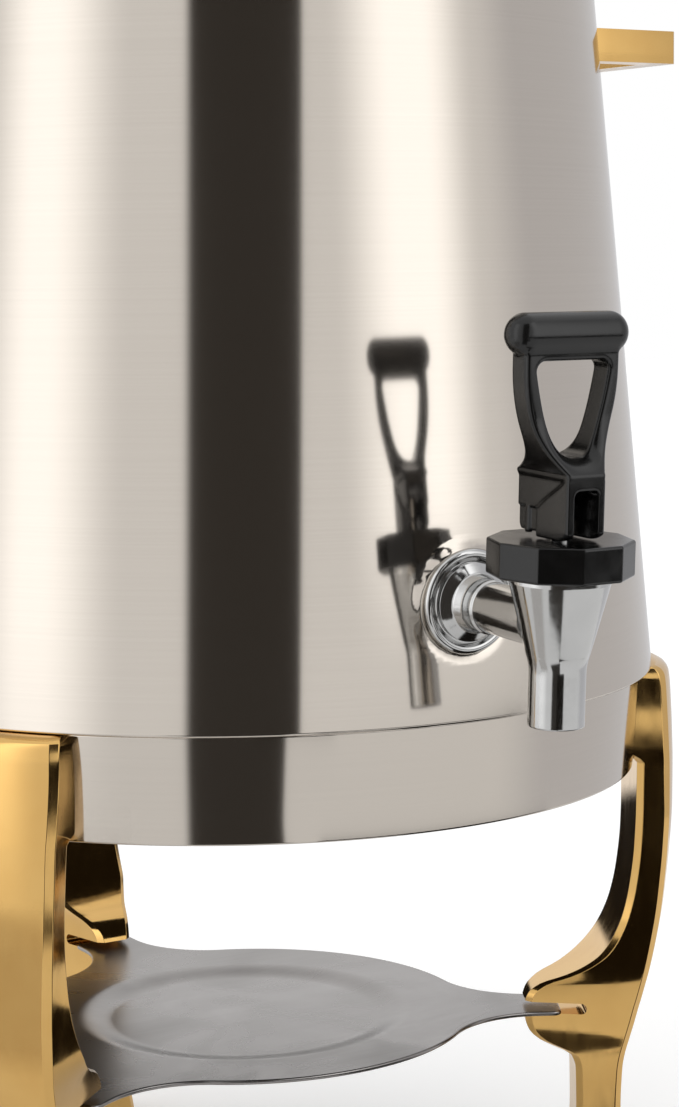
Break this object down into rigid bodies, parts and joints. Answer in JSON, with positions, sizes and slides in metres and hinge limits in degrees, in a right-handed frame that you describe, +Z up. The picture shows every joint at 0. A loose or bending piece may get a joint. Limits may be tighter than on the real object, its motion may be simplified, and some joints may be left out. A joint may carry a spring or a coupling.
{
  "type": "coffee urn",
  "caption": "Conical hot-drink urn on cast legs, with a slotted-in burner tray, bar handles, a lift-off domed lid and a spring-return lever tap.",
  "frame": {"origin": "on the vessel's axis at floor level", "axes": "+Z up, the tap faces -Y, the side handles lie on +X and -X"},
  "size_m": [0.324, 0.3664, 0.5848],
  "materials": {
    "steel": "satin polished",
    "tray_steel": "satin",
    "gold": "polished",
    "chrome": "polished",
    "black_plastic": "glossy",
    "rubber": "matt"
  },
  "bodies": {
    "urn": {"body_shell": "steel", "body_bottom": "steel", "base_band": "steel", "leg_front_left": "gold", "leg_front_right": "gold", "leg_rear": "gold", "leg_screws": "chrome", "leg_washers": "chrome", "fuel_tray": "tray_steel", "handle_left": "gold", "handle_right": "gold", "handle_pads": "gold", "handle_screws": "chrome", "handle_washers": "chrome", "tap_body": "chrome", "tap_flange": "chrome", "tap_gasket_outer": "rubber", "tap_gasket_inner": "rubber", "tap_washer": "chrome", "tap_locknut": "chrome", "bonnet_nut": "black_plastic", "bonnet_gasket": "rubber", "return_spring": "chrome"},
    "lid": {"lid_shell": "steel", "lid_skirt": "steel", "lid_handle": "gold", "lid_screws": "chrome", "lid_washers": "chrome"},
    "stem": {"valve_stem": "chrome", "stem_pin": "chrome", "seat_cup": "rubber"},
    "lever": {"tap_lever": "black_plastic"}
  },
  "joints": [
    {"name": "lid_lift", "type": "slide", "parent": "urn", "child": "lid", "axis": [0, 0, 1], "range_m": [0, 0.15]},
    {"name": "stem_lift", "type": "slide", "parent": "urn", "child": "stem", "axis": [0, -0.0488, 0.9988], "range_m": [0, 0.00366], "stiffness_N_per_m": 1200, "springref_m": -0.006, "deforming": ["return_spring"]},
    {"name": "lever_pull", "type": "hinge", "parent": "stem", "child": "lever", "pos_m": [0, -0.19157, 0.27425], "axis": [1, 0, 0], "range_deg": [0, 35]}
  ],
  "couplings": [
    {"joint": "lever_pull", "follows": "stem_lift", "rad_per_m": 166.67}
  ]
}
